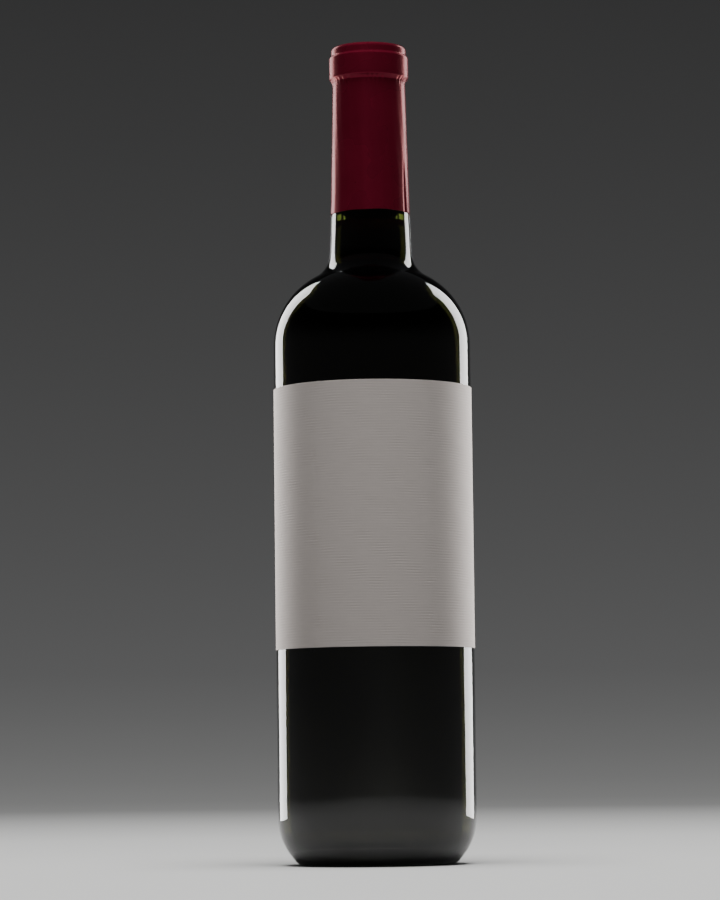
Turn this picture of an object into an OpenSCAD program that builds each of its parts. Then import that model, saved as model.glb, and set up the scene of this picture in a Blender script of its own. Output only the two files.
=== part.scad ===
// Still-wine bottle of the tall, high-shouldered kind: a blown glass bottle with a punt, its wine,
// a foil capsule over the finish and a paper label wrapped round the body.
// Millimetres, +Z up, origin in the middle of the ring it stands on, front towards -Y.

/* [Glass body] */
// Outer diameter of the body
body_d = 75; // [73:0.5:80]
// Height of the bare glass, up to the mouth
glass_h = 311.7; // [311:0.1:318]
// Wall thickness of the body
wall = 3.5; // [2.6:0.1:4]
// Height where the lines of body and shoulder would meet
shoulder_z = 214.4; // [205:0.2:215]
// Radius that rounds the shoulder
shoulder_r = 29.5; // [20:0.5:29.5]
// Height where the lines of shoulder and neck would meet
neck_z = 226.3; // [226:0.1:232]
// Radius of the hollow sweep from shoulder to neck
sweep_r = 11.5; // [6:0.5:11.5]

/* [Foot and punt] */
// Height where the lines of body and heel would meet
heel_z = 9.5; // [8:0.5:12]
// Radius that rounds the heel
heel_r = 22; // [14:1:22]
// Outer radius of the foot's corner
foot_out = 29.8; // [29:0.2:31]
// Inner radius of the foot's corner, where the punt begins
foot_in = 24.6; // [22:0.2:25]
// Slope of the punt's flank, in degrees from the level
punt_slope = 49; // [35:1:50]
// Radius that rounds the crown of the punt
punt_r = 12; // [8:0.5:12]
// Glass thickness over the crown of the punt
crown_t = 4.5; // [3:0.5:5]
// Glass thickness under the trough round the punt
floor_t = 7; // [6:0.5:9]

/* [Neck and finish] */
// Diameter where the lines of shoulder and neck would meet
neck_d = 31.4; // [30:0.2:32]
// Diameter of the neck at its waist, where its taper eases
waist_d = 29.4; // [29:0.1:29.8]
// Height of the waist
waist_z = 252; // [251:0.5:258]
// Diameter of the neck just below the ring
neck_top_d = 27.2; // [26:0.2:27.8]
// Diameter of the bore at the mouth
bore_d = 18.5; // [17.5:0.5:20]
// Diameter of the bore at the foot of the neck
bore_foot_d = 22.4; // [20:0.2:24]
// Diameter of the ring below the mouth
ring_d = 29.8; // [29:0.2:31]
// Height of the ring's underside
ring_z = 299.6; // [297:0.2:300]
// Height of the ring's band
ring_h = 8.2; // [5:0.2:9]
// Diameter of the lip above the ring
lip_d = 28.2; // [26:0.2:28.6]

/* [Contents] */
// Height of the wine's surface
fill_z = 244.4; // [236:0.2:270]

/* [Capsule] */
// Height of the capsule's lower edge
capsule_z = 247.2; // [235:0.2:248.6]
// Thickness of the capsule's foil
foil_t = 0.3; // [0.2:0.1:0.5]

/* [Label] */
// Height of the label's lower edge
label_z = 81; // [60:1:90]
// Height of the label
label_h = 99; // [60:1:110]
// Length of the label round the body
label_w = 208; // [150:1:225]
// Thickness of the label's paper
label_t = 0.2; // [0.2:0.05:0.4]

/* [Hidden] */
$fn = 120;

body_r = body_d / 2;
neck_r = neck_d / 2;
waist_r = waist_d / 2;
neck_top_r = neck_top_d / 2;
ring_r = ring_d / 2;
lip_r = lip_d / 2;
bore_r = bore_d / 2;
bore_foot_r = bore_foot_d / 2;
cavity_r = body_r - wall;
crown_flat = 0.5;
punt_depth = (foot_in - crown_flat - punt_r * tan(punt_slope / 2)) * tan(punt_slope);

// Small roundings of the foot, the finish and the inside of the base
foot_out_round = 5;
foot_in_round = 2.5;
ring_round = 0.8;
ring_root_round = 1;
lip_round = 1.6;
waist_round = 300;
mouth_round = 1;
trough_round = 3;
cavity_heel_round = 7;
// How far the slopes of the ring's two flanks reach
ring_root = 1.2;
ring_step = 0.7;
// Degrees of arc that one straight piece of a rounding stands for
arc_step = 6;

function unit(v) = v / norm(v);
function lerp(a, b, t) = a + (b - a) * t;
// Radius of a straight flank from [r, z] to [r, z], at height z
function flank(a, b, z) = lerp(a[0], b[0], (z - a[1]) / (b[1] - a[1]));

// One corner [r, z, rounding] between its neighbours, as the points of its tangent arc
function arc_at(before, corner, after) =
    let(
        p = [corner[0], corner[1]],
        u = unit([before[0], before[1]] - p),
        v = unit([after[0], after[1]] - p),
        half = acos(max(-1, min(1, u * v))) / 2,
        radius = corner[2],
        middle = p + unit(u + v) * radius / sin(half),
        start = p + u * radius / tan(half),
        sweep = 180 - 2 * half,
        turn = sign(u[1] * v[0] - u[0] * v[1]),
        from = atan2(start[1] - middle[1], start[0] - middle[0]),
        steps = max(2, ceil(sweep / arc_step))
    )
    [for (i = [0 : steps]) middle + radius * [cos(from + turn * sweep * i / steps),
                                              sin(from + turn * sweep * i / steps)]];

// An open outline whose corners, apart from the two ends, are rounded where they say so
function rounded(corners) =
    let(last = len(corners) - 1)
    [for (i = [0 : last])
        for (p = (i > 0 && i < last && corners[i][2] > 0)
                ? arc_at(corners[i - 1], corners[i], corners[i + 1])
                : [[corners[i][0], corners[i][1]]])
            p];

function reversed(list) = [for (i = [len(list) - 1 : -1 : 0]) list[i]];

// The neck's waist, ring and lip, all of it grown by t
function finish_corners(t) = [
    [waist_r + t, waist_z, waist_round],
    [neck_top_r + t, ring_z - ring_root, ring_root_round],
    [ring_r + t, ring_z, ring_round],
    [ring_r + t, ring_z + ring_h, ring_round],
    [lip_r + t, ring_z + ring_h + ring_step, ring_round],
    [lip_r + t, glass_h + t, lip_round]
];

// Outside of the glass, from the crown of the punt round the foot and up to the neck
punt_corners = [
    [0, punt_depth, 0],
    [foot_in - punt_depth / tan(punt_slope), punt_depth, punt_r],
    [foot_in, 0, foot_in_round],
    [foot_out, 0, foot_out_round]
];
side_corners = [
    [body_r, heel_z, heel_r],
    [body_r, shoulder_z, shoulder_r],
    [neck_r, neck_z, sweep_r]
];

// Inside of the glass: the punt's cone, the floor's trough, the wall and the shoulder follow the
// outside at the wall's thickness, and the bore narrows up to the mouth
shoulder_slope = atan2(neck_z - shoulder_z, body_r - neck_r);
function punt_inside(z) = foot_in + crown_t / sin(punt_slope) - z / tan(punt_slope);
cavity_top_z = shoulder_z - wall * tan((90 - shoulder_slope) / 2);
bore_foot = [bore_foot_r, cavity_top_z + (cavity_r - bore_foot_r) * tan(shoulder_slope)];
mouth = [bore_r, glass_h];
cavity_corners = [
    [0, punt_depth + crown_t, 0],
    [punt_inside(punt_depth + crown_t), punt_depth + crown_t, punt_r + crown_t],
    [punt_inside(floor_t), floor_t, trough_round],
    [cavity_r, floor_t, cavity_heel_round],
    [cavity_r, cavity_top_z, shoulder_r - wall],
    [bore_foot[0], bore_foot[1], sweep_r + wall]
];

module glass_bottle() {
    outside = concat(punt_corners, side_corners, finish_corners(0));
    rim = [[mouth[0], mouth[1], mouth_round]];
    color([0.09, 0.14, 0.06, 0.55])
        rotate_extrude()
            polygon(rounded(concat(outside, rim, reversed(cavity_corners))));
}

module wine() {
    surface_r = flank(bore_foot, mouth, fill_z);
    color([0.22, 0.02, 0.04])
        rotate_extrude()
            polygon(rounded(concat(cavity_corners, [[surface_r, fill_z, 0], [0, fill_z, 0]])));
}

module capsule() {
    edge_r = flank([neck_r, neck_z], [waist_r, waist_z], capsule_z);
    skin = concat([[edge_r + foil_t, capsule_z, 0]], finish_corners(foil_t),
                  [[0, glass_h + foil_t, 0]]);
    glass = concat([[edge_r, capsule_z, 0]], finish_corners(0), [[0, glass_h, 0]]);
    color([0.42, 0.05, 0.12])
        rotate_extrude()
            polygon(concat(rounded(skin), reversed(rounded(glass))));
}

module label() {
    wrap = label_w / (PI * body_d) * 360;
    color([0.80, 0.77, 0.71])
        rotate(-90 - wrap / 2)
            rotate_extrude(angle = wrap)
                translate([body_r, label_z])
                    square([label_t, label_h]);
}

glass_bottle();
wine();
capsule();
label();
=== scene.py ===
import math

import bpy
import numpy as np
from mathutils import Matrix, Vector


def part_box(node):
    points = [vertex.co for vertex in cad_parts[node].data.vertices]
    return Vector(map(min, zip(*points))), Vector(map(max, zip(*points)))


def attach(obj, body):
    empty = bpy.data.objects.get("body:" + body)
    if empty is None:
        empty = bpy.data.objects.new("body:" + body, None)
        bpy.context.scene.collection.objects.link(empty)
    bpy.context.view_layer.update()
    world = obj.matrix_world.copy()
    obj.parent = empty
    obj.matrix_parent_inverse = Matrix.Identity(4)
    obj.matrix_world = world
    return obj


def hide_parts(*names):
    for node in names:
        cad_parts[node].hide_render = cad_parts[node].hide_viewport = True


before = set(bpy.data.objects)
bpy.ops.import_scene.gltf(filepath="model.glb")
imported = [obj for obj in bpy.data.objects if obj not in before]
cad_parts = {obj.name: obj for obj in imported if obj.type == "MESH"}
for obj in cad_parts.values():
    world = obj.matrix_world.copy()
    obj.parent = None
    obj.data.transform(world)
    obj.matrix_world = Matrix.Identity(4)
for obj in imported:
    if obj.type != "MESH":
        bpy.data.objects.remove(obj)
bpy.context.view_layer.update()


# ---------------------------------------------------------------- camera
# A long lens close to the level of the table, looking up a few degrees and turned a little on its own
# axis, so that the bottle leans slightly to the left.
LENS = 93.3
SENSOR_HEIGHT = 24.0
EYE = Vector((-0.005, -1.327, 0.0383))
LOOK_UP = math.radians(5.11)
ROLL = math.radians(-0.66)

camera_data = bpy.data.cameras.new("camera")
camera_data.sensor_fit = "VERTICAL"
camera_data.sensor_height = SENSOR_HEIGHT
camera_data.lens = LENS
camera_data.clip_end = 50
camera = bpy.data.objects.new("camera", camera_data)
upright = Matrix.Rotation(math.radians(90) + LOOK_UP, 4, "X")
camera.matrix_world = Matrix.Translation(EYE) @ upright @ Matrix.Rotation(ROLL, 4, "Z")
bpy.context.scene.collection.objects.link(camera)
bpy.context.scene.camera = camera


# ---------------------------------------------------------------- glass bottle
# The bottle is one piece of dark olive-green soda-lime glass, blown in a mould of two halves, with
# walls of three to four millimetres, a punt pushed up into its base and a ring below its lip.
# The halves leave a fine seam up each side, and the cooling glass draws its walls faintly wavy.
MM = 0.001
glass_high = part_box("glass_bottle")[1]
BODY_R = glass_high.x
MOUTH_Z = glass_high.z
WALL = 3.5 * MM
HEEL_Z = 9.5 * MM
HEEL_ROUND = 22 * MM
SHOULDER_Z = 214.4 * MM
SHOULDER_ROUND = 29.5 * MM
SWEEP_ROUND = 11.5 * MM

FOOT_OUT = 29.8 * MM
FOOT_OUT_ROUND = 5 * MM
FOOT_IN = 24.6 * MM
FOOT_IN_ROUND = 2.5 * MM
PUNT_SLOPE = math.radians(49)
PUNT_ROUND = 12 * MM
CROWN_FLAT = 0.5 * MM
CROWN_T = 4.5 * MM
FLOOR_T = 7 * MM
TROUGH_ROUND = 3 * MM
CAVITY_HEEL_ROUND = 7 * MM

NECK_R = 15.7 * MM
NECK_Z = 226.3 * MM
WAIST_R = 14.7 * MM
WAIST_Z = 252 * MM
WAIST_ROUND = 300 * MM
NECK_TOP_R = 13.6 * MM
NECK_TOP_Z = 298.4 * MM
NECK_TOP_ROUND = 1 * MM
RING_R = 14.9 * MM
RING_Z = 299.6 * MM
RING_TOP_Z = 307.8 * MM
RING_ROUND = 0.8 * MM
RING_STEP = 0.7 * MM
LIP_R = 14.1 * MM
LIP_ROUND = 1.6 * MM
MOUTH_ROUND = 1 * MM
MOUTH_DEEP = 2 * MM
BORE_R = 9.25 * MM
BORE_FOOT_R = 11.2 * MM

CAVITY_R = BODY_R - WALL
PUNT_DEPTH = (FOOT_IN - CROWN_FLAT - PUNT_ROUND * math.tan(PUNT_SLOPE / 2)) * math.tan(PUNT_SLOPE)
CROWN_Z = PUNT_DEPTH + CROWN_T
SHOULDER_SLOPE = math.atan2(NECK_Z - SHOULDER_Z, BODY_R - NECK_R)
CAVITY_TOP_Z = SHOULDER_Z - WALL * math.tan((math.pi / 2 - SHOULDER_SLOPE) / 2)
BORE_FOOT_Z = CAVITY_TOP_Z + (CAVITY_R - BORE_FOOT_R) * math.tan(SHOULDER_SLOPE)
ARC_STEP = math.radians(4)
INSIDE_ARC_STEP = math.radians(8)
OUTSIDE_ROW = 3 * MM
INSIDE_ROW = 5 * MM


def rounded(corners, step=ARC_STEP):
    """An outline through corners (radius, height, rounding). Each rounding becomes the arc that touches
    both sides: its middle lies on the corner's bisector, rounding / sin(half the angle) away."""
    corners = np.array(corners, float)
    points = [corners[:1, :2]]
    for before, corner, after in zip(corners[:-2], corners[1:-1], corners[2:]):
        u, v = (side[:2] - corner[:2] for side in (before, after))
        u, v = u / np.linalg.norm(u), v / np.linalg.norm(v)
        half = math.acos(np.clip(u @ v, -1, 1)) / 2
        bisector = (u + v) / np.linalg.norm(u + v)
        middle = corner[:2] + bisector * corner[2] / math.sin(half)
        first = math.atan2(*(corner[:2] + u * corner[2] / math.tan(half) - middle)[::-1])
        turn = math.copysign(math.pi - 2 * half, u[1] * v[0] - u[0] * v[1])
        angle = first + np.linspace(0, turn, max(3, math.ceil(abs(turn) / step) + 1))
        points.append(middle + corner[2] * np.stack([np.cos(angle), np.sin(angle)], 1))
    return np.vstack(points + [corners[-1:, :2]])


def spaced(outline, gap):
    """The same outline with each straight piece longer than gap cut into equal lengths."""
    lengths = np.linalg.norm(np.diff(outline, axis=0), axis=1)
    cuts = np.maximum(1, np.ceil(lengths / gap).astype(int))
    runs = [np.linspace(a, b, n, endpoint=False) for a, b, n in zip(outline[:-1], outline[1:], cuts)]
    return np.vstack(runs + [outline[-1:]])


def new_piece(name, points, faces):
    """A smooth-shaded mesh object at the origin from an array of points and a list of face arrays."""
    mesh = bpy.data.meshes.new(name)
    mesh.from_pydata(points.tolist(), [], [face for block in faces for face in block.tolist()])
    mesh.validate()
    mesh.shade_smooth()
    piece = bpy.data.objects.new(name, mesh)
    bpy.context.scene.collection.objects.link(piece)
    return piece


def turned(name, outline, angles, shift=None):
    """An outline carried once round the axis: the point (r, z) at angle a goes to (r sin a, -r cos a, z),
    with a = 0 at the front. Its first point, and its last if that is on the axis, closes to a pole.
    shift(a, r, z) gives new r and z first."""
    rows = outline[1:-1] if outline[-1, 0] == 0 else outline[1:]
    a, r = np.meshgrid(angles, rows[:, 0])
    z = np.repeat(rows[:, 1:2], len(angles), 1)
    if shift:
        r, z = shift(a, r, z)
    rings = np.stack([r * np.sin(a), -r * np.cos(a), z], 2).reshape(-1, 3)
    poles = np.array([[0, 0, outline[0, 1]], [0, 0, outline[-1, 1]]])
    here = np.arange(a.size).reshape(a.shape)
    beside = np.roll(here, -1, 1)
    quads = np.stack([here[:-1], beside[:-1], beside[1:], here[1:]], 2).reshape(-1, 4)
    first = np.stack([np.full_like(here[0], len(rings)), beside[0], here[0]], 1)
    last = np.stack([np.full_like(here[0], len(rings) + 1), here[-1], beside[-1]], 1)
    if outline[-1, 0] > 0:
        return new_piece(name, np.vstack([rings, poles[:1]]), [quads, first])
    return new_piece(name, np.vstack([rings, poles]), [quads, first, last])


def ramp(value, start, end):
    """0 up to start, 1 from end on, and straight between the two."""
    return np.clip((value - start) / (end - start), 0, 1)


def eased(t):
    """A rise from 0 to 1 with level ends: three t squared less two t cubed."""
    return t**2 * (3 - 2 * t)


def punt_inside(z):
    """Radius of the cavity's side of the punt's cone at height z, the glass there being CROWN_T thick."""
    return FOOT_IN + CROWN_T / math.sin(PUNT_SLOPE) - z / math.tan(PUNT_SLOPE)


def finish_corners(grow):
    """The corners of the neck's waist, the ring and the lip, moved out by grow."""
    return [
        (WAIST_R + grow, WAIST_Z, WAIST_ROUND),
        (NECK_TOP_R + grow, NECK_TOP_Z, NECK_TOP_ROUND),
        (RING_R + grow, RING_Z, RING_ROUND),
        (RING_R + grow, RING_TOP_Z, RING_ROUND),
        (LIP_R + grow, RING_TOP_Z + RING_STEP, RING_ROUND),
        (LIP_R + grow, MOUTH_Z + grow, LIP_ROUND),
    ]


bore_top = (BORE_R, MOUTH_Z - MOUTH_DEEP, 0)
outside_corners = [
    (0, PUNT_DEPTH, 0),
    (FOOT_IN - PUNT_DEPTH / math.tan(PUNT_SLOPE), PUNT_DEPTH, PUNT_ROUND),
    (FOOT_IN, 0, FOOT_IN_ROUND),
    (FOOT_OUT, 0, FOOT_OUT_ROUND),
    (BODY_R, HEEL_Z, HEEL_ROUND),
    (BODY_R, SHOULDER_Z, SHOULDER_ROUND),
    (NECK_R, NECK_Z, SWEEP_ROUND),
    *finish_corners(0),
    (BORE_R, MOUTH_Z, MOUTH_ROUND),
    bore_top,
]
cavity_corners = [
    (0, CROWN_Z, 0),
    (punt_inside(CROWN_Z), CROWN_Z, PUNT_ROUND + CROWN_T),
    (punt_inside(FLOOR_T), FLOOR_T, TROUGH_ROUND),
    (CAVITY_R, FLOOR_T, CAVITY_HEEL_ROUND),
    (CAVITY_R, CAVITY_TOP_Z, SHOULDER_ROUND - WALL),
    (BORE_FOOT_R, BORE_FOOT_Z, SWEEP_ROUND + WALL),
]
outside = spaced(rounded(outside_corners), OUTSIDE_ROW)[:-1]
cavity = spaced(rounded([bore_top] + cavity_corners[::-1], INSIDE_ARC_STEP), INSIDE_ROW)

SEAM_HALF = math.radians(0.55)
SEAM_HIGH = 0.07 * MM
WAVE_DEEP = 0.09 * MM
CAVITY_DEEPER = 3
HEEL_EASE = 0.14 * MM
HEEL_EASE_FROM = 26 * MM
HEEL_EASE_TO = 12 * MM
SEAM_LEAST_R = 14 * MM
# The distances at which a wave, a seam or the heel's ease begins and is at its full size
WAVE_FROM_AXIS = (2 * MM, 8 * MM)
WAVE_FROM_END = (6 * MM, 26 * MM)
SEAM_FROM_END = (6 * MM, 10 * MM)
EASE_FROM_AXIS = (20 * MM, 30 * MM)
GLASS_STEPS = 224
around = np.linspace(-math.pi, math.pi, GLASS_STEPS, endpoint=False)
seam_sides = np.array([-2, -1, -0.4, 0, 0.4, 1, 2]) * SEAM_HALF
glass_angles = np.union1d(around, np.concatenate([seam_sides - math.pi / 2, seam_sides + math.pi / 2]))


def wavy(a, z):
    """Slow unevenness between -1 and 1: the mean of three sines of the angle and the height."""
    return (
        np.sin(3 * a + z / (23 * MM))
        + np.sin(5 * a - z / (14 * MM) + 1.3)
        + np.sin(2 * a + z / (9 * MM) + 0.6)
    ) / 3


def drawn_in(a, r, z):
    """How far the waves of cooling draw a wall in: half of one plus the mean above, times its depth. It
    fades out towards the axis, the foot and the ring."""
    fade = ramp(r, *WAVE_FROM_AXIS) * ramp(z, *WAVE_FROM_END) * ramp(RING_Z - z, *WAVE_FROM_END)
    return WAVE_DEEP * (1 + wavy(a, z)) / 2 * fade


def drawn_glass(a, r, z):
    """The mould's outline less the waves, which are three times deeper inside than outside. The outside
    also has a low ridge along its two seams, and eases inwards in one smooth step towards the heel."""
    in_cavity = np.arange(1, len(r) + 1)[:, None] >= len(outside)
    depth = drawn_in(a, r, z)
    from_seam = np.abs(np.abs(a) - math.pi / 2)
    on_side = ramp(z, *SEAM_FROM_END) * ramp(RING_Z - z, *SEAM_FROM_END) * (r > SEAM_LEAST_R)
    seam = SEAM_HIGH * (1 - ramp(from_seam, 0, SEAM_HALF)) * on_side
    ease = HEEL_EASE * eased(1 - ramp(z, HEEL_EASE_TO, HEEL_EASE_FROM)) * ramp(r, *EASE_FROM_AXIS)
    return np.where(in_cavity, r - CAVITY_DEEPER * depth, r - depth - ease + seam), z


bottle = turned("bottle", np.vstack([outside, cavity]), glass_angles, drawn_glass)


class Net:
    """A socket in a material's node tree. Arithmetic on it adds the Math nodes it stands for, and node()
    adds any other node: its kind, its settings, values or Nets for its sockets, and its own output."""

    def __init__(self, tree, out=None):
        self.tree, self.out = tree, out

    def node(self, kind, settings=None, sockets=None, out=0):
        made = self.tree.nodes.new(kind)
        for name, value in (settings or {}).items():
            setattr(made, name, value)
        for name, value in (sockets or {}).items():
            if isinstance(value, Net):
                self.tree.links.new(value.out, made.inputs[name])
            else:
                made.inputs[name].default_value = value
        return Net(self.tree, made.outputs[out])

    def maths(self, operation, *values):
        return self.node("ShaderNodeMath", {"operation": operation}, dict(enumerate(values)))

    def __add__(self, other):
        return self.maths("ADD", self, other)

    def __mul__(self, other):
        return self.maths("MULTIPLY", self, other)

    __radd__ = __add__

    def place(self):
        """The piece's own coordinates."""
        return self.node("ShaderNodeTexCoord", out="Object")

    def noise(self, place, scale, detail, roughness=0.5):
        """Soft unevenness from 0 to 1, with scale humps to the metre."""
        sockets = {"Vector": place, "Scale": scale, "Detail": detail, "Roughness": roughness}
        return self.node("ShaderNodeTexNoise", None, sockets)

    def bump(self, height, strength, distance):
        """A normal tilted by a height that isn't in the mesh."""
        sockets = {"Height": height, "Strength": strength, "Distance": distance}
        return self.node("ShaderNodeBump", None, sockets)

    def between(self, factor, dark, light):
        """A colour that goes from dark to light as factor goes from 0 to 1."""
        sockets = {"Factor": factor, "A": dark, "B": light}
        return self.node("ShaderNodeMix", {"data_type": "RGBA"}, sockets, out=2)

    def absorption(self, colour, density):
        """What takes light away inside a piece, by its depth."""
        return self.node("ShaderNodeVolumeAbsorption", None, {"Color": colour, "Density": density})


def new_material(name):
    """A new node material, and its tree as a Net."""
    made = bpy.data.materials.new(name)
    made.use_nodes = True
    return made, Net(made.node_tree)


def settle(material, inside=None, **values):
    """Sets the sockets of a material's shader: plain values directly, Nets by a link, with underscores
    for the spaces in their names. inside is the Net for what fills the piece, if light goes into it."""
    nodes, links = material.node_tree.nodes, material.node_tree.links
    shader = next(n for n in nodes if n.type == "BSDF_PRINCIPLED")
    for name, value in values.items():
        socket = shader.inputs[name.replace("_", " ")]
        if isinstance(value, Net):
            links.new(value.out, socket)
        else:
            socket.default_value = value
    if inside:
        output = next(n for n in nodes if n.type == "OUTPUT_MATERIAL")
        links.new(inside.out, output.inputs["Volume"])


GLASS_TINT = (0.92, 0.95, 0.84, 1)
GLASS_DEPTH_TINT = (0.63, 0.65, 0.50, 1)
GLASS_DENSITY = 1000.0
green_glass, net = new_material("dark_green_glass")
ripple = net.noise(net.place(), scale=90.0, detail=2.0)
settle(
    green_glass,
    inside=net.absorption(GLASS_DEPTH_TINT, GLASS_DENSITY),
    Base_Color=GLASS_TINT,
    Roughness=0.02,
    IOR=1.52,
    Transmission_Weight=1.0,
    Normal=net.bump(ripple, strength=0.05, distance=0.4 * MM),
)
bottle.data.materials.append(green_glass)
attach(bottle, "root")
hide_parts("glass_bottle")


# ---------------------------------------------------------------- wine
# Red wine fills the cavity up into the neck, to just below the capsule. It wets the glass all round,
# so its skin lies a little inside the wall, and its surface climbs the glass in a small curve.
WINE_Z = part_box("wine")[1].z
INTO_WALL = 0.2 * MM
CLIMB_HIGH = 1.2 * MM
CLIMB_WIDE = 4 * MM
CLIMB_STEPS = 12


def bore_at(z):
    """Radius of the straight-sided bore at height z."""
    return BORE_FOOT_R + (BORE_R - BORE_FOOT_R) * (z - BORE_FOOT_Z) / (MOUTH_Z - BORE_FOOT_Z)


def outward(outline, distance):
    """An outline moved sideways by a distance, along the mean of the normals of its two sides."""
    side = np.diff(outline, axis=0)
    side = side / np.linalg.norm(side, axis=1)[:, None]
    along = np.vstack([side[:1], side[:-1] + side[1:], side[-1:]])
    along = along / np.linalg.norm(along, axis=1)[:, None]
    return outline + distance * np.stack([along[:, 1], -along[:, 0]], 1)


def follow_glass(a, r, z):
    """The wine's skin goes in and out with the inside of the glass."""
    return r - CAVITY_DEEPER * drawn_in(a, r, z), z


# The surface falls away from the glass as the cube of what is left of the climb's width. The outline
# starts and ends on the axis.
wetted = outward(rounded(cavity_corners + [(bore_at(WINE_Z), WINE_Z, 0)]), INTO_WALL)
inwards = np.linspace(0, 1, CLIMB_STEPS)[:, None]
surface_r = wetted[-1, 0] - CLIMB_WIDE * inwards
surface_z = WINE_Z - CLIMB_HIGH * (1 - (1 - inwards) ** 3)
surface = np.hstack([surface_r, surface_z])
wine_outline = np.vstack([wetted, surface[1:], [[0, surface[-1, 1]]]])
wine_outline[0, 0] = 0
wine = turned("wine_fill", spaced(wine_outline, INSIDE_ROW), around[::2], follow_glass)

WINE_TINT = (0.95, 0.78, 0.78, 1)
WINE_DEPTH_TINT = (0.66, 0.05, 0.10, 1)
WINE_DENSITY = 330.0
red_wine, net = new_material("red_wine")
settle(
    red_wine,
    inside=net.absorption(WINE_DEPTH_TINT, WINE_DENSITY),
    Base_Color=WINE_TINT,
    Roughness=0.0,
    IOR=1.34,
    Transmission_Weight=1.0,
)
wine.data.materials.append(red_wine)
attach(wine, "root")
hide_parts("wine")


# ---------------------------------------------------------------- capsule
# The capsule is burgundy-lacquered foil, spun down tight over the lip, the ring and the neck. Spinning
# leaves fine upright creases, small pleats under the ring and one longer fold up from its cut edge.
capsule_low, capsule_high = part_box("capsule")
EDGE_Z = capsule_low.z
EDGE_CRISP = 0.05 * MM
EDGE_UNEVEN = 0.12 * MM
EDGE_HIGH = 3 * MM
FOIL_T = capsule_high.z - MOUTH_Z
OFF_GLASS = 0.02 * MM
CREASE_DEEP = 0.035 * MM
CREASE_FROM_RING = (2 * MM, 8 * MM)
PLEAT_DEEP = 0.15 * MM
PLEAT_Z = RING_Z - 1.1 * MM
PLEAT_WIDE = 0.9 * MM
TUCK_DEEP = 0.22 * MM
TUCK_Z = RING_Z - 0.3 * MM
TUCK_WIDE = 0.45 * MM
SIDE_FROM_AXIS = (10 * MM, 12 * MM)
FOLD_ANGLE = math.radians(66)
FOLD_WIDE = math.radians(3.2)
FOLD_HIGH = 0.28 * MM
FOLD_TOP = 21 * MM
DISC_R = 11.6 * MM
DISC_DEEP = 0.14 * MM
DISC_STEP = 0.6 * MM
DISC_LEAST_Z = MOUTH_Z - 0.5 * MM
SPUN_RING_WIDE = 1.9 * MM
SPUN_RING_DEEP = 0.02 * MM
FOIL_STEPS = 360
FOIL_ROW = 1.2 * MM
DISC_ROW = 0.25 * MM
FOIL_INSIDE_ROW = 2.4 * MM


def seat(grow):
    """The capsule's outline from its cut edge up to the lip and in to the axis, moved out by grow."""
    edge_r = np.interp(EDGE_Z, [NECK_Z, WAIST_Z], [NECK_R, WAIST_R])
    return [(edge_r + grow, EDGE_Z, 0), *finish_corners(grow), (0, MOUTH_Z + grow, 0)]


def ridge(value, middle, wide):
    """A rounded ridge of height 1: e to the power of minus the square of (value - middle) / wide."""
    return np.exp(-(((value - middle) / wide) ** 2))


def creased(a, r, z):
    """Upright creases as sines of the angle that fade in and out with height, pleats and a tuck under
    the ring, one fold as a ridge beside a groove, and a cut edge that rises and falls a little. The top
    disc is sunk below the rim in one smooth step, with spun rings as a cosine of the radius."""
    sleeve = ramp(RING_Z - z, *CREASE_FROM_RING)
    creases = np.sin(17 * a + 2 * np.sin(z / (11 * MM))) * np.sin(9 * a + z / (17 * MM)) * sleeve
    pleats = np.sin(43 * a + 3 * np.sin(5 * a)) * (0.6 + 0.4 * np.sin(7 * a))
    pleats = pleats * ridge(z, PLEAT_Z, PLEAT_WIDE)
    tuck = ridge(z, TUCK_Z, TUCK_WIDE)
    groove = 0.8 * ridge(a, FOLD_ANGLE - 1.6 * FOLD_WIDE, FOLD_WIDE)
    fading = (1 - ramp(z - EDGE_Z, 0, FOLD_TOP)) ** 0.7
    fold = (ridge(a, FOLD_ANGLE, FOLD_WIDE) - groove) * fading * sleeve
    outwards = CREASE_DEEP * creases + PLEAT_DEEP * pleats - TUCK_DEEP * tuck + FOLD_HIGH * fold
    r = r + outwards * ramp(r, *SIDE_FROM_AXIS)
    near_edge = 1 - ramp(z - EDGE_Z, 0, EDGE_HIGH)
    z = z + near_edge * EDGE_UNEVEN * (1 + np.sin(2 * a + 0.8) * np.sin(5 * a))
    on_disc = (1 - ramp(r, DISC_R - DISC_STEP, DISC_R)) * (z > DISC_LEAST_Z)
    rings = SPUN_RING_DEEP * (1 - np.cos(2 * math.pi * r / SPUN_RING_WIDE))
    return r, z - eased(on_disc) * (DISC_DEEP + rings)


# A row of points close above the cut edge keeps it crisp. The pole in the middle of the top is sunk as
# the disc round it is.
inner = spaced(rounded(seat(OFF_GLASS), INSIDE_ARC_STEP), FOIL_INSIDE_ROW)
outer = rounded(seat(FOIL_T))
outer = np.insert(outer, 1, outer[0] + [0, EDGE_CRISP], 0)
side_rows = spaced(outer[:-1], FOIL_ROW)[:-1]
disc_rows = spaced(outer[-2:], DISC_ROW)
foil_outline = np.vstack([inner[::-1], side_rows, disc_rows])
foil_outline[-1, 1] -= DISC_DEEP
foil_angles = np.linspace(-math.pi, math.pi, FOIL_STEPS, endpoint=False)
capsule = turned("foil_capsule", foil_outline, foil_angles, creased)

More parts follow.
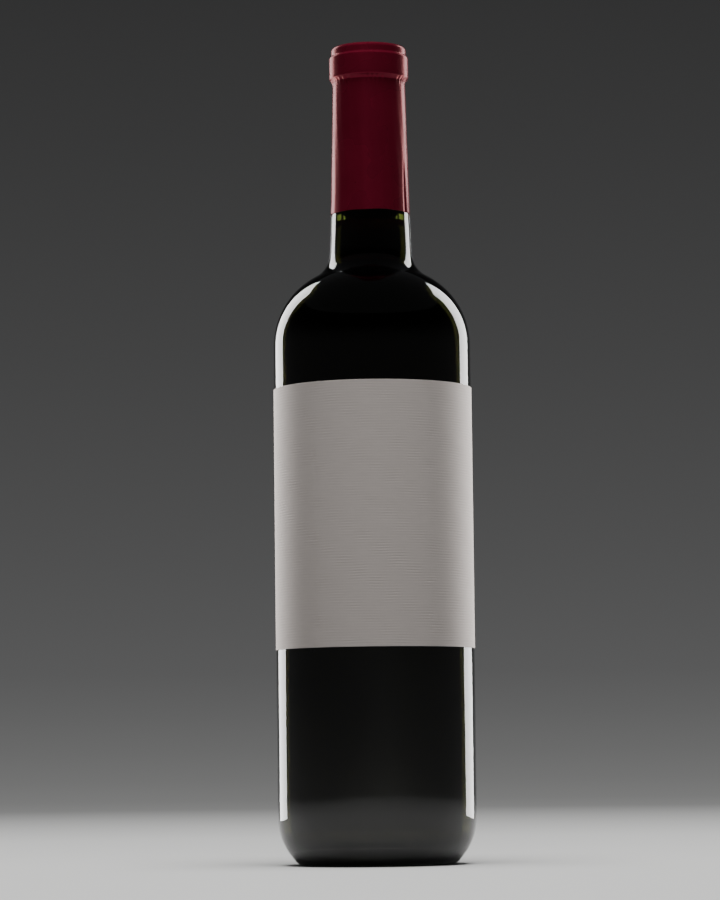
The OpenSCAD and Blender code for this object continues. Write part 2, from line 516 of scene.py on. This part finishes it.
LACQUER_DARK = (0.100, 0.0046, 0.015, 1)
LACQUER_LIGHT = (0.145, 0.0066, 0.021, 1)
LACQUER_SHEEN = (0.55, 0.17, 0.21, 1)
burgundy_foil, net = new_material("burgundy_foil")
place = net.place()
grain = net.noise(place, scale=420.0, detail=3.0)
cloud = net.noise(place, scale=60.0, detail=2.0)
settle(
    burgundy_foil,
    Base_Color=net.between(cloud, LACQUER_DARK, LACQUER_LIGHT),
    Metallic=0.5,
    Roughness=0.22 + cloud * 0.10,
    Specular_IOR_Level=0.28,
    Specular_Tint=LACQUER_SHEEN,
    Coat_Weight=0.03,
    Coat_Roughness=0.16,
    Normal=net.bump(grain, strength=0.12, distance=0.3 * MM),
)
capsule.data.materials.append(burgundy_foil)
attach(capsule, "root")
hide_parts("capsule")


# ---------------------------------------------------------------- label
# The label is one sheet of uncoated, warm off-white paper with fine uneven ribs pressed into it, which
# run round the bottle. It is glued down flat, and its two ends stop short of each other at the back.
label_low, label_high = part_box("label")
LABEL_R = -label_low.y
LABEL_LONG = 208 * MM
LABEL_HALF = LABEL_LONG / 2 / BODY_R
LABEL_STEPS = 130
PAPER_T = LABEL_R - BODY_R
GLUED_R = BODY_R - 0.1 * MM
EDGE_ROUND = 0.35 * PAPER_T
EDGE_ARC_STEP = math.radians(20)
RIB_WIDE = 1.0 * MM
RIB_DEEP = 0.042 * MM
RIB_FROM_EDGE = (0, 0.6 * MM)
ROWS_PER_RIB = 5


def ribbed(a, r, z):
    """Ribs as a cosine of the height, shifted and made deeper and shallower by slow sines of the angle
    and the height, and sunk below the paper's face. They fade out at the paper's edges."""
    shift = 0.7 * np.sin(3 * a + z / (7 * MM)) + 0.5 * np.sin(7 * a - z / (4 * MM)) + 0.3 * np.sin(19 * a)
    strong = 0.55 + 0.25 * np.sin(11 * a + z / (2.3 * MM)) + 0.2 * np.sin(23 * a - z / (1.7 * MM))
    from_edge = np.minimum(z - label_low.z, label_high.z - z)
    on_face = (r > LABEL_R - 0.5 * PAPER_T) * ramp(from_edge, *RIB_FROM_EDGE)
    return r - RIB_DEEP * on_face * strong * (1 + np.cos(2 * math.pi * z / RIB_WIDE + shift)) / 2, z


def wrapped(name, section, angles, shift):
    """A section (r, z), closed from its last point to its first, carried from the first angle to the
    last. Its two ends are closed by a face each. shift(a, r, z) gives new r and z first."""
    a, r = np.meshgrid(angles, section[:, 0])
    r, z = shift(a, r, np.repeat(section[:, 1:2], len(angles), 1))
    points = np.stack([r * np.sin(a), -r * np.cos(a), z], 2).reshape(-1, 3)
    here = np.arange(a.size).reshape(a.shape)
    above = np.roll(here, -1, 0)
    quads = np.stack([here[:, :-1], here[:, 1:], above[:, 1:], above[:, :-1]], 2).reshape(-1, 4)
    return new_piece(name, points, [quads, here[::-1, -1][None], here[:, 0][None]])


# The glued side lies a little inside the glass, so that no gap shows where the wall is drawn in.
label_corners = [
    (GLUED_R, label_low.z, 0),
    (LABEL_R, label_low.z, EDGE_ROUND),
    (LABEL_R, label_high.z, EDGE_ROUND),
    (GLUED_R, label_high.z, 0),
]
label_section = spaced(rounded(label_corners, EDGE_ARC_STEP), RIB_WIDE / ROWS_PER_RIB)
label_angles = np.linspace(-LABEL_HALF, LABEL_HALF, LABEL_STEPS)
label = wrapped("paper_label", label_section, label_angles, ribbed)

PAPER_DARK = (0.66, 0.595, 0.555, 1)
PAPER_LIGHT = (0.80, 0.725, 0.68, 1)
ribbed_paper, net = new_material("ribbed_paper")
place = net.place()
along_ribs = net.node("ShaderNodeMapping", None, {"Vector": place, "Scale": (1, 1, 9)})
fibre = net.noise(place, scale=1400.0, detail=4.0, roughness=0.6)
mottle = net.noise(place, scale=160.0, detail=3.0)
streak = net.noise(along_ribs, scale=170.0, detail=2.0)
settle(
    ribbed_paper,
    Base_Color=net.between(fibre * 0.3 + mottle * 0.2 + streak * 0.5, PAPER_DARK, PAPER_LIGHT),
    Roughness=0.85,
    Specular_IOR_Level=0.25,
    Normal=net.bump(fibre, strength=0.35, distance=0.05 * MM),
)
label.data.materials.append(ribbed_paper)
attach(label, "root")
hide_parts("label")


# ---------------------------------------------------------------- studio
# A pale floor that sweeps up all round into a plain wall. Its colour is a painted falloff of light: pale
# near the bottle and painted darker with the distance from it. Two tall soft boxes stand behind the
# bottle, left and right, each with a twin that lights only the label. One hangs above, a weak one fills
# in from above the camera, and one in front lights only the capsule.
COVE_START = 1.7
COVE_R = 2.4
WALL_TOP = 3.4
COVE_ROW = 0.2
PAINTED_FALLOFF_OVER = 5.0
# Painted falloff of light: the floor and wall colours by distance from the bottle, pale near it, dark far
# off.
PAINTED_FALLOFF_SHADES = (
    (0.10, (0.66, 0.66, 0.65, 1)),
    (0.34, (0.40, 0.40, 0.395, 1)),
    (0.50, (0.24, 0.24, 0.24, 1)),
    (0.90, (0.13, 0.13, 0.13, 1)),
)
wall_r = COVE_START + COVE_R
cove_outline = rounded([(0, 0, 0), (wall_r, 0, COVE_R), (wall_r, WALL_TOP, 0)])
cove = turned("floor", spaced(cove_outline, COVE_ROW), around[::3])

# The ramp paints the floor and wall darker with the distance from the bottle, a painted falloff of light.
floor_painted_falloff, net = new_material("floor_painted_falloff")
away = net.node("ShaderNodeVectorMath", {"operation": "LENGTH"}, {0: net.place()}, out="Value")
painted_falloff = net.node("ShaderNodeValToRGB", None, {"Fac": away * (1 / PAINTED_FALLOFF_OVER)})
stops = painted_falloff.out.node.color_ramp.elements
while len(stops) < len(PAINTED_FALLOFF_SHADES):
    stops.new(0.5)
for stop, (position, colour) in zip(stops, PAINTED_FALLOFF_SHADES):
    stop.position = position
    stop.color = colour
settle(floor_painted_falloff, Base_Color=painted_falloff, Roughness=0.7)
cove.data.materials.append(floor_painted_falloff)
cove.visible_diffuse = False


def lit_by(name, *pieces):
    """The only pieces that a lamp lights, as a collection."""
    lit = bpy.data.collections.new("lit_by_" + name)
    for piece in pieces:
        lit.objects.link(piece)
    return lit


def soft_box(name, centre, target, width, height, radiance, mirrored=False, lights=None):
    """A rectangular lamp at centre that faces target, as bright as radiance. mirrored says if shiny
    surfaces show it, and lights names the only pieces it lights."""
    data = bpy.data.lights.new(name, "AREA")
    data.shape = "RECTANGLE"
    data.size, data.size_y = width, height
    data.energy = radiance * math.pi * width * height
    lamp = bpy.data.objects.new(name, data)
    facing = (Vector(centre) - Vector(target)).to_track_quat("Z", "Y").to_matrix().to_4x4()
    lamp.matrix_world = Matrix.Translation(centre) @ facing
    lamp.visible_camera = False
    lamp.visible_glossy = mirrored
    lamp.visible_transmission = mirrored
    bpy.context.scene.collection.objects.link(lamp)
    if lights:
        lamp.light_linking.receiver_collection = lights


on_bottle = lit_by("side_boxes", bottle, wine, capsule, label)
on_label = lit_by("label_boxes", label)
on_capsule = lit_by("capsule_fill", capsule)

BOX_DISTANCE = 0.5
BOX_HALF_ANGLE = math.radians(12.5)
BOX_TOP = 0.68
BOX_RADIANCE = 8.0
LABEL_RADIANCE = 11.0
BOX_BEARINGS = {"left_box": math.radians(-138.5), "right_box": math.radians(134)}
AIR_TINT = (0.95, 0.97, 1.0, 1)
AIR_STRENGTH = 0.05
box_size = (2 * BOX_DISTANCE * math.tan(BOX_HALF_ANGLE), BOX_TOP)
box_target = (0, 0, BOX_TOP / 2)
for box, bearing in BOX_BEARINGS.items():
    centre = (BOX_DISTANCE * math.sin(bearing), -BOX_DISTANCE * math.cos(bearing), BOX_TOP / 2)
    soft_box(box, centre, box_target, *box_size, BOX_RADIANCE, mirrored=True, lights=on_bottle)
    soft_box(box + "_for_label", centre, box_target, *box_size, LABEL_RADIANCE, lights=on_label)
soft_box("top_box", centre=(0, -0.3, 2.2), target=(0, 0, 0), width=1.4, height=1.4, radiance=13.0)
soft_box("front_fill", centre=(0.3, -2.2, 1.3), target=(0, 0, 0.15), width=1.2, height=1.2, radiance=1.3)
soft_box(
    "capsule_fill",
    centre=(-0.4, -1.8, 1.0),
    target=(0, 0, 0.28),
    width=0.8,
    height=0.8,
    radiance=9.0,
    lights=on_capsule,
)

air = bpy.data.worlds.new("studio_air")
air.use_nodes = True
background = air.node_tree.nodes["Background"]
background.inputs["Color"].default_value = AIR_TINT
background.inputs["Strength"].default_value = AIR_STRENGTH
bpy.context.scene.world = air
